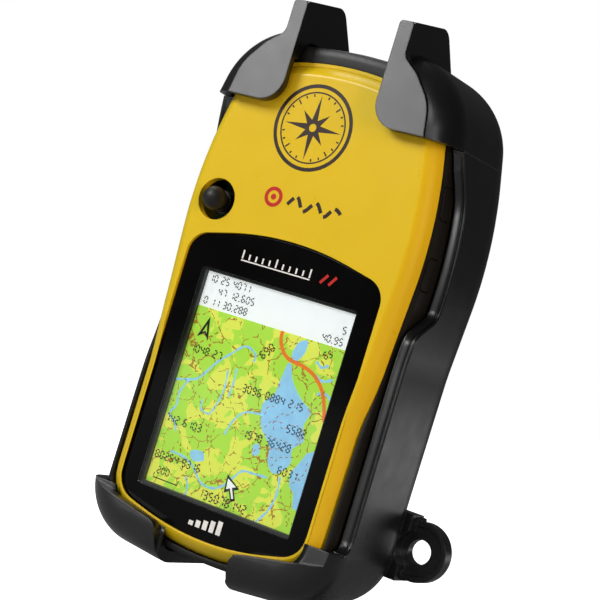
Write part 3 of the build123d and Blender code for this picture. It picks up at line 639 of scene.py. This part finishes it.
lake = [(23.1, 12.6), (22.6, 16.0), (22.2, 19.0), (20.4, 21.4), (21.4, 25.5), (23.2, 27.4), (24.6, 29.0),
        (25.0, 31.4), (26.6, 33.2), (28.4, 32.6), (29.9, 30.2), (29.4, 27.8), (31.2, 25.6), (30.2, 22.8),
        (30.9, 20.0),
        (28.6, 18.6), (26.4, 16.8), (24.8, 14.8), (24.0, 12.8)]
east = [(34.4, 26.5), (32.6, 27.6), (31.6, 30.0), (30.4, 32.0), (31.0, 34.4), (32.4, 35.6), (33.0, 38.2),
        (34.4, 38.4)]
ponds = [[(24.0, 8.2), (25.8, 7.4), (26.0, 9.6), (24.8, 11.6), (23.4, 11.0)],
         [(21.0, 29.6), (22.2, 29.0), (22.8, 30.6), (21.6, 31.4)],
         [(8.0, 34.6), (10.6, 34.0), (11.4, 35.6), (9.0, 36.2)]]
water = [[np.array(screen(spline(lake, 5, True)))], [np.array(screen(east))]]
water += [[np.array(screen(spline(p, 5, True)))] for p in ponds]
rivers = [
    ([(0.0, 22.3), (3.0, 21.5), (5.0, 20.6), (7.6, 17.0), (10.2, 14.4), (13.0, 12.0), (15.6, 12.8),
      (15.8, 14.4)], 0.42),
    ([(3.0, 21.5), (1.6, 24.4), (1.8, 27.0), (0.8, 29.2), (2.6, 30.4), (3.4, 32.0)], 0.4),
    ([(10.8, 17.4), (11.2, 21.0), (10.6, 24.2), (9.6, 26.6), (7.4, 26.2), (7.2, 24.4)], 0.36),
    ([(12.6, 16.6), (12.8, 19.6), (12.6, 22.4)], 0.36),
    ([(14.2, 29.4), (15.2, 26.4), (17.0, 24.2), (19.4, 23.6), (21.4, 23.4)], 0.38),
    ([(3.6, 36.0), (7.0, 36.2), (9.6, 37.4), (12.4, 39.8), (15.4, 39.9), (17.8, 38.2), (20.2, 35.0),
      (22.8, 34.6), (26.0, 34.4)], 0.42),
    ([(9.8, 43.0), (9.6, 41.2), (8.6, 39.6)], 0.36),
    ([(28.6, 33.4), (29.0, 37.0), (28.2, 40.2), (26.4, 43.0)], 0.42),
    ([(28.9, 10.6), (30.4, 11.4), (31.6, 10.6)], 0.5),
    ([(29.6, 13.2), (31.4, 13.8), (33.4, 13.0)], 0.5),
    ([(31.0, 16.4), (33.0, 16.0), (34.3, 16.8)], 0.5),
]
for line, width in rivers:
    smooth_line = spline(line, 5)
    widths = [width * (1 + 0.3 * math.sin(1.7 * k)) for k in range(len(smooth_line))]
    water.append([np.array(screen(ribbon(smooth_line, widths)))])
build("screen_water", *prism(water, 2.30, 2.33), "display_face", smooth=False, material=water_ink)

road = spline([(19.9, 7.05), (20.4, 9.4), (22.6, 11.6), (26.2, 12.2), (28.8, 13.0), (31.2, 14.8),
               (32.8, 17.2), (34.2, 21.0)], 8)
build("screen_road", *prism([[np.array(screen(ribbon(road, 0.75)))]], 2.27, 2.295), "display_face",
      smooth=False, material=road_ink)

lanes = []
for _ in range(26):
    x, z = rng.uniform(1, 33), rng.uniform(8, 42)
    heading = rng.uniform(0, 2 * math.pi)
    line = [(x, z)]
    for _ in range(rng.randint(6, 16)):
        heading += rng.uniform(-0.8, 0.8)
        x += 0.9 * math.cos(heading)
        z += 0.9 * math.sin(heading)
        if not (0.4 < x < 34.0 and 7.4 < z < 42.6):
            break
        line.append((x, z))
    if len(line) > 3:
        path_line = spline(line, 3)
        for k in range(0, len(path_line) - 3, 4):
            lanes.append([np.array(screen(ribbon(path_line[k:k + 3], 0.16)))])
build("screen_tracks", *prism(lanes, 2.265, 2.28), "display_face", smooth=False, material=track_ink)

SEGMENTS = {"0": "abcdef", "1": "bc", "2": "abged", "3": "abgcd", "4": "fgbc", "5": "afgcd", "6": "afgedc",
            "7": "abc", "8": "abcdefg", "9": "abcdfg"}


def number(text, x, z, height, weight=0.16, tilt=0.0):
    """Strokes of a number whose top left corner is at x, z; z grows downwards."""
    shapes = []
    w, h = height * 0.5, height / 2
    t = height * weight
    ends = {"a": ((0, 0), (w, 0)), "b": ((w, 0), (w, h)), "c": ((w, h), (w, 2 * h)),
            "d": ((0, 2 * h), (w, 2 * h)), "e": ((0, h), (0, 2 * h)), "f": ((0, 0), (0, h)),
            "g": ((0, h), (w, h))}
    cos_t, sin_t = math.cos(tilt), math.sin(tilt)
    step = 0.0
    for sign in text:
        strokes = []
        if sign in SEGMENTS:
            for key in SEGMENTS[sign]:
                a, b = np.array(ends[key][0], float), np.array(ends[key][1], float)
                along = (b - a) / np.linalg.norm(b - a)
                strokes.append((a + along * t * 0.52, b - along * t * 0.52))
        elif sign == ".":
            strokes.append((np.array((w * 0.1, 2 * h - t * 0.5)), np.array((w * 0.1, 2 * h + t * 0.5))))
        elif sign == "-":
            strokes.append((np.array((0.0, h)), np.array((w, h))))
        for a, b in strokes:
            line = ribbon([a + (step, 0), b + (step, 0)], t)
            turned = [(x + p[0] * cos_t - p[1] * sin_t, z + p[0] * sin_t + p[1] * cos_t) for p in line]
            shapes.append([np.array(screen(turned))])
        step += w * (0.8 if sign == "." else 1.0 if sign == " " else 1.6)
    return shapes


# Each number on the map: its text, right, down, height and tilt.
NUMBERS = [
    ("10 25 4071", 0.7, 0.5, 1.35, 0.0), ("47 12.605", 3.6, 2.75, 1.35, 0.0),
    ("0 11 30.288", 0.9, 5.0, 1.35, 0.0),
    ("40.95", 28.6, 5.1, 1.35, 0.0), ("5", 32.4, 2.8, 1.35, 0.0), ("690", 16.4, 12.4, 1.5, -0.9),
    ("65", 29.8, 8.6, 1.3, -0.5), ("1048 27", 1.2, 14.6, 1.45, 0.0), ("3096 0884 215", 15.2, 19.0, 1.45, 0.0),
    ("742 6103", 0.4, 29.2, 1.45, 0.0), ("5582", 27.0, 23.6, 1.45, 0.0), ("1970 36428", 18.2, 27.2, 1.45, 0.0),
    ("6031", 27.8, 31.6, 1.45, 0.0), ("80254 9316", 0.5, 36.6, 1.45, 0.0), ("200", 2.0, 39.6, 1.3, 0.0),
    ("35078142", 13.8, 40.9, 1.6, 0.0),
]
labels = []
for text, right_by, down_by, tall, lean in NUMBERS:
    labels += number(text, right_by, down_by, tall, tilt=lean)
labels.append([np.array(screen(ribbon([(1.5, 41.0), (1.5, 41.9), (7.4, 41.9), (7.4, 41.0)], 0.2)))])
compass = [(3.4, 8.6), (1.7, 13.0), (3.2, 12.0), (4.4, 13.2)]
compass_gap = [(3.25, 10.2), (2.6, 12.0), (3.25, 11.5), (3.75, 12.1)]
labels.append([np.array(screen(compass)), np.array(screen(compass_gap))])
build("screen_labels", *prism(labels, 2.235, 2.26), "display_face", smooth=False, material=label_ink)
pointer = [(17.6, 36.4), (17.9, 40.0), (18.9, 39.3), (19.9, 41.2), (20.8, 40.7), (19.9, 38.9), (21.0, 38.4)]
inner = [(17.95, 37.1), (18.2, 39.2), (18.95, 38.75), (19.95, 40.6), (20.3, 40.4), (19.35, 38.5), (20.2, 38.2)]
build("screen_pointer", *prism([[np.array(screen(inner))]], 2.20, 2.23), "display_face", smooth=False,
      material=head_ink)
build("screen_pointer_edge", *prism([[np.array(screen(pointer)), np.array(screen(inner))]], 2.20, 2.23),
      "display_face", smooth=False, material=label_ink)

# ------------------------------------------------------------------ generic marks on the face and window

PRINT = (-0.02, 0.02)
rose_x, rose_z, rose_r = -2.7, 37.4, 8.6
rose = [[circle(rose_x, rose_z, rose_r), circle(rose_x, rose_z, rose_r - 0.75)],
        [circle(rose_x, rose_z, rose_r - 1.5), circle(rose_x, rose_z, rose_r - 1.8)]]
star = []
for k in range(16):
    reach = (rose_r - 2.2, 1.6, rose_r - 4.4, 1.6)[k % 4]
    a = math.pi / 8 * k + math.pi / 2
    star.append((rose_x + reach * math.cos(a), rose_z + reach * math.sin(a)))
rose.append([np.array(star), circle(rose_x, rose_z, 0.8, 24)])
for k in range(24):
    a = math.pi / 12 * k
    if k % 6 == 0:
        continue
    inner_r = rose_r - 3.0 if k % 3 == 0 else rose_r - 2.5
    outer_r = rose_r - 1.95
    ends = [(rose_x + r * math.cos(a), rose_z + r * math.sin(a)) for r in (inner_r, outer_r)]
    rose.append([ribbon(ends, 0.3)])
build("compass_rose", *prism(rose, *PRINT), "lens_print", smooth=False, material=mark_ink)
ring_at = (-6.6, 22.7)
rings = [[circle(*ring_at, 2.0, 40), circle(*ring_at, 1.25, 32)], [circle(*ring_at, 0.6, 20)]]
build("waypoint_ring", *prism(rings, *PRINT), "lens_print", smooth=False, material=red_ink)
track_line = spline([(-3.2, 22.0), (-1.4, 23.8), (0.6, 21.4), (3.0, 23.6), (5.2, 21.4), (7.2, 23.4),
                     (9.2, 22.2)], 6)
dashes = [[ribbon(track_line[k:k + 5], 0.75)] for k in range(0, len(track_line) - 4, 6)]
build("track_mark", *prism(dashes, *PRINT), "lens_print", smooth=False, material=mark_ink)

GLASS_PRINT = (LENS_FRONT - 0.02, LENS_FRONT + 0.02)
ticks = []
for k in range(11):
    x = -9.8 + 1.55 * k
    ticks.append([rect(x, 9.6, x + 0.34, 11.3 if k % 5 == 0 else 10.7)])
ticks.append([rect(-9.8, 9.15, -9.8 + 15.84, 9.4)])
bars = []
for k in range(5):
    x = -3.9 + 1.6 * k
    bars.append([rect(x, -42.3, x + 1.05, -41.4 + 0.45 * k)])
# The scale and signal marks use the white ink with its painted glow.
build("scale_mark", *prism(ticks, *GLASS_PRINT), "lens_print", smooth=False, material=white_ink_painted_glow)
build("signal_mark", *prism(bars, *GLASS_PRINT), "lens_print", smooth=False, material=white_ink_painted_glow)
slashes = [[ribbon([(x, 9.3), (x_top, 11.1)], 0.55)] for x, x_top in ((8.4, 9.7), (10.3, 11.6))]
build("red_mark", *prism(slashes, *GLASS_PRINT), "lens_print", smooth=False, material=red_ink)

# ------------------------------------------------------------------ rolled bead along the cradle's low rims


def half_width(z, grow=0.0):
    """Half width of the outline at a height."""
    loop = outline(grow)
    side_points = loop[loop[:, 0] > 5]
    order = np.argsort(side_points[:, 1])
    return float(np.interp(z, side_points[order, 1], side_points[order, 0]))


def rim_line(rim, low):
    """Depth and Z along a side wall's front edge, from the notch's top to its lower end."""
    step = 0.35 * (10.6 - rim)
    corners = [(3.2, 41.2), (4.0, 41.2), (8.8, 31.0), (10.6, 6.6 + step), (rim, 6.6 - step),
               (rim + 0.8, low), (-6.0, low), (-6.0, 60.0)]
    loop = rounded(corners, [0, 0, 12.0, 3.0, 3.0, 2.4, 0, 0], 0.25)
    end = next(i for i, p in enumerate(loop) if p[0] < -1.2 and p[1] < 0)
    return resample(loop[1:end], 260, closed=False)


# The rim's cross-section: out from the navigator's outline, and back from the rim's line.
RIM_SECTION = [(0.36, 0.5), (0.36, -0.62), (0.44, -0.78), (0.58, -0.84), (0.72, -0.8), (1.72, -0.28),
               (1.84, -0.16), (1.9, 0.0), (1.98, -0.02), (2.06, -0.14), (2.2, -0.24), (2.38, -0.24),
               (2.54, -0.14), (2.64, 0.02),
               (2.68, 0.2), (2.66, 0.5), (1.5, 0.7)]


def rim_cap(name, sign, rim, low):
    """The rim's outward-facing band, its groove and the rolled bead outside it."""
    line = [(d, z) for d, z in rim_line(rim, low) if z < 39.9 and d > -0.3]
    heights = np.linspace(-52, 52, 300)
    widths = np.array([half_width(z) for z in heights])
    slope = np.gradient(np.array(line), axis=0)
    slope /= np.linalg.norm(slope, axis=1)[:, None]
    verts, faces = [], []
    count = len(RIM_SECTION)
    for k, (d, z) in enumerate(line):
        ends = min(1.0, 0.1 + 0.09 * min(k, len(line) - 1 - k))
        front = np.array((-slope[k][1], slope[k][0]))
        front = front if front[0] < 0 else -front
        for out_by, back_by in RIM_SECTION:
            lift = -back_by * (ends if back_by < 0.1 else 1.0)
            dd, zz = d + front[0] * lift, z + front[1] * lift
            verts.append(at(sign * (float(np.interp(zz, heights, widths)) + out_by), dd, zz))
    for k in range(len(line) - 1):
        for i in range(count):
            j = (i + 1) % count
            quad = (k * count + i, k * count + j, (k + 1) * count + j, (k + 1) * count + i)
            faces.append(quad if sign < 0 else quad[::-1])
    caps = [tuple(range(count))[::-1], tuple((len(line) - 1) * count + i for i in range(count))]
    faces += caps if sign < 0 else [cap[::-1] for cap in caps]
    build(name, verts, faces, "cradle_black", angle=40)


rim_cap("right_rim_bead", 1, 4.3, -37.6)
rim_cap("left_rim_bead", -1, 8.2, -40.0)

# ------------------------------------------------------------------ yellow face


def radial_min(a, b):
    """The part of outline a that also lies inside outline b; both surround the origin."""
    angle_b = np.arctan2(b[:, 1], b[:, 0])
    order = np.argsort(angle_b)
    radius_b = np.linalg.norm(b, axis=1)[order]
    limit = np.interp(np.arctan2(a[:, 1], a[:, 0]), angle_b[order], radius_b, period=2 * math.pi)
    radius_a = np.linalg.norm(a, axis=1)
    return a * np.minimum(1.0, limit / radius_a)[:, None]


def smoothed(loop, rounds):
    """A closed line with its corners evened out."""
    for _ in range(rounds):
        loop = 0.5 * loop + 0.25 * (np.roll(loop, 1, axis=0) + np.roll(loop, -1, axis=0))
    return loop


def face_outline(count=420):
    """The yellow face's outline, arched at the top and bottom."""
    arch, fall, lower = 61.0, 0.25, 24.8
    lift = arch * (math.hypot(1, fall) - 1)
    top, bottom = 50.4 + lift, -47.4 - lift
    corners = [(30.0, top - 30.0 * fall), (30.0, 30.0), (lower + 2.6, 24.0), (lower, -14.0),
               (lower, bottom + lower * fall)]
    radii = [0, 0, 0, 60.0, 8.0]
    loop = rounded([(0, top)] + corners + [(0, bottom)] + [(-x, z) for x, z in corners[::-1]],
                   [arch] + radii + [arch] + radii[::-1])[::-1]
    return smoothed(radial_min(outline(-0.7, count), resample(loop, 2400)), 5)


def oriented(pts, tri, front):
    """A flat face's corners, in the order that faces the front or the back."""
    return list(tri) if (signed_area(pts, tri) > 0) == front else list(tri)[::-1]


def lofted_shell(name, front, rings, ceiling, holes, slot, replaces):
    """A face plate with openings, whose rim runs through rings down to its inside ceiling."""
    verts, faces = [], []
    pts, tris = fill([front[0]] + holes)
    verts += [at(x, front[1], z) for x, z in pts]
    faces += [oriented(pts, tri, True) for tri in tris]
    count = len(front[0])
    prev = list(range(count))
    for loop, d in rings:
        cur = list(range(len(verts), len(verts) + count))
        verts += [at(x, d, z) for x, z in loop]
        for i in range(count):
            j = (i + 1) % count
            faces.append((prev[j], prev[i], cur[i], cur[j]))
        prev = cur
    base = len(verts)
    pts, tris = fill([ceiling[0]] + holes)
    verts += [at(x, ceiling[1], z) for x, z in pts]
    faces += [[base + i for i in oriented(pts, tri, False)] for tri in tris]
    for i in range(count):
        j = (i + 1) % count
        faces.append((prev[j], prev[i], base + i, base + j))
    a, b = count, base + count
    for hole in holes:
        n = len(hole)
        for i in range(n):
            j = (i + 1) % n
            faces.append((a + i, a + j, b + j, b + i))
        a += n
        b += n
    return build(name, verts, faces, slot, replaces=replaces, angle=28)


edge_loop = face_outline()
# The face's sloping rim, as inset from its outline and depth.
BEVEL = [(2.75, 0.0), (2.6, 0.05), (2.1, 0.38), (1.55, 0.84), (1.05, 1.36), (0.6, 1.95), (0.25, 2.6),
         (0.06, 3.1)]
face_rings = [(smoothed(grown(edge_loop, -inset), 2), d) for inset, d in BEVEL]
face_rings += [(edge_loop, 3.4), (outline(-2.0), 3.4), (outline(-2.0), 14.0), (outline(-3.4), 14.0)]
stick_hole = circle(-19.0, 19.4, 4.15, 72)
lofted_shell("face_shell", (smoothed(grown(edge_loop, -3.1), 2), 0.0), face_rings, (outline(-3.4), 1.8),
             [window_outline(), stick_hole], "case_yellow", ("front_shell",))


KEY_DEPTH = 5.9
KEYS = ((-1, 32.6), (-1, 25.4), (-1, 12.2), (1, 30.0), (1, 16.4))


def key_cutter(sign, z):
    """A block that opens the band for one key."""
    corner = rounded([(-3.25, -1.85), (3.25, -1.85), (3.25, 1.85), (-3.25, 1.85)], [0.8] * 4, 0.2)
    n = len(corner)
    verts = [at(sign * x, KEY_DEPTH + c[1], z + c[0]) for x in (22.0, 33.0) for c in corner]
    faces = [tuple(range(n))[::-1], tuple(range(n, 2 * n))]
    faces += [(i, (i + 1) % n, n + (i + 1) % n, n + i) for i in range(n)]
    return verts, faces


def grip_band():
    """Rubber band round the case, its lip filling the gap beside the yellow face."""
    full = outline(-0.7)
    gap = np.linalg.norm(full, axis=1) - np.linalg.norm(edge_loop, axis=1)
    share = np.clip(gap / 1.3, 0, 1)
    share = share * share * (3 - 2 * share)
    for _ in range(12):
        share = 0.5 * share + 0.25 * (np.roll(share, 1) + np.roll(share, -1))
    lip = 3.38 - 1.7 * share
    low = np.full(len(full), 3.4)
    rings = [
        (grown(edge_loop, 0.04), np.maximum(lip + 0.02, low)), (grown(edge_loop, 0.05), lip + 0.12),
        (grown(edge_loop, 0.1) * 0.999 + full * 0.001, lip + 0.02),
        (0.5 * grown(edge_loop, 0.1) + 0.5 * outline(-0.75), lip - 0.04 * share), (outline(-0.7), lip + 0.05),
        (outline(-0.56), lip + 0.2), (outline(-0.5), np.maximum(lip + 0.35, low + 0.3)),
        (outline(-0.3), low + 0.62), (outline(-0.12), low + 0.95), (outline(-0.02), low + 1.4),
        (outline(0.0), low + 1.9), (outline(0.0), low + 5.0), (outline(0.0), low + 8.2),
        (outline(-0.02), low + 10.8), (outline(-0.16), low + 11.2),
        (outline(-0.3), low + 11.3), (outline(-1.9), low + 11.3), (outline(-1.9), low + 0.02),
    ]
    verts, faces = [], []
    count = len(full)
    for loop, d in rings:
        verts += [at(p[0], float(v), p[1]) for p, v in zip(loop, d)]
    for r in range(len(rings)):
        nxt = (r + 1) % len(rings)
        for i in range(count):
            j = (i + 1) % count
            faces.append((r * count + j, r * count + i, nxt * count + i, nxt * count + j))
    band = build("grip_band", verts, faces, "grip_rubber", replaces=("side_band",), angle=50)
    cut_verts, cut_faces = [], []
    for sign, z in KEYS:
        v, f = key_cutter(sign, z)
        cut_faces += [tuple(i + len(cut_verts) for i in face) for face in f]
        cut_verts += v
    mesh = bpy.data.meshes.new("cut")
    mesh.from_pydata(cut_verts, [], cut_faces)
    cutter = bpy.data.objects.new("cut", mesh)
    bpy.context.scene.collection.objects.link(cutter)
    mend = bmesh.new()
    mend.from_mesh(mesh)
    bmesh.ops.recalc_face_normals(mend, faces=mend.faces)
    mend.to_mesh(mesh)
    mend.free()
    cut = band.modifiers.new("keys", "BOOLEAN")
    cut.object = cutter
    cut.operation = "DIFFERENCE"
    cut.solver = "EXACT"
    bpy.context.view_layer.update()
    graph = bpy.context.evaluated_depsgraph_get()
    done = bpy.data.meshes.new_from_object(band.evaluated_get(graph))
    band.modifiers.clear()
    band.data = done
    bpy.data.objects.remove(cutter)


grip_band()

CRADLE_PIECES = ("cradle_frame", "back_panel", "left_release_clip", "right_release_clip",
                 "right_rim_bead", "left_rim_bead")
cradle_only = bpy.data.collections.new("cradle_light")
for obj in bpy.data.objects:
    if obj.type == "MESH" and obj.name in CRADLE_PIECES:
        cradle_only.objects.link(obj)
front_left.light_linking.receiver_collection = cradle_only
camera_side.light_linking.receiver_collection = cradle_only
not_cradle = bpy.data.collections.new("case_light")
for obj in bpy.data.objects:
    if obj.type == "MESH" and obj.name not in cradle_only.objects:
        not_cradle.objects.link(obj)
right_fill.light_linking.receiver_collection = not_cradle

# ------------------------------------------------------------------ floor

FLOOR_Z = -57.2
FLOOR_CELLS = 8
FLOOR_CELL = 0.5
row = FLOOR_CELLS + 1
floor_verts, floor_faces = [], []
for j in range(row):
    for i in range(row):
        x, y = ((n - FLOOR_CELLS / 2) * FLOOR_CELL for n in (i, j))
        floor_verts.append((x, y, FLOOR_Z * MM))
for j in range(FLOOR_CELLS):
    for i in range(FLOOR_CELLS):
        corner = j * row + i
        floor_faces.append((corner, corner + 1, corner + row + 1, corner + row))
floor_mesh = bpy.data.meshes.new("floor")
floor_mesh.from_pydata(floor_verts, [], floor_faces)
floor = bpy.data.objects.new("floor", floor_mesh)
bpy.context.scene.collection.objects.link(floor)
pale = ink("pale_floor", (0.85, 0.85, 0.85), 1.2, rough=0.8, spread=0.01, size=200.0)
tree = pale.node_tree
base = next(node for node in tree.nodes if node.type == "BSDF_PRINCIPLED")
output = next(node for node in tree.nodes if node.type == "OUTPUT_MATERIAL")
dim = tree.nodes.new("ShaderNodeBsdfDiffuse")
dim.inputs["Color"].default_value = (0.5, 0.5, 0.5, 1)
ray = tree.nodes.new("ShaderNodeLightPath")
choose = tree.nodes.new("ShaderNodeMixShader")
tree.links.new(ray.outputs["Is Camera Ray"], choose.inputs[0])
tree.links.new(dim.outputs[0], choose.inputs[1])
tree.links.new(base.outputs[0], choose.inputs[2])
tree.links.new(choose.outputs[0], output.inputs[0])
floor_mesh.materials.append(pale)
floor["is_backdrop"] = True

# ------------------------------------------------------------------ sizes and finish

bounds_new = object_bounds()


def plain(value):
    """A value as plain lists, numbers and text."""
    if isinstance(value, dict):
        return {key: plain(item) for key, item in value.items()}
    if isinstance(value, (list, tuple, Vector)):
        return [plain(item) for item in value]
    return float(value) if isinstance(value, (int, float, np.floating)) else str(value)


{"cad": plain(bounds_cad), "visual": plain(bounds_new)}
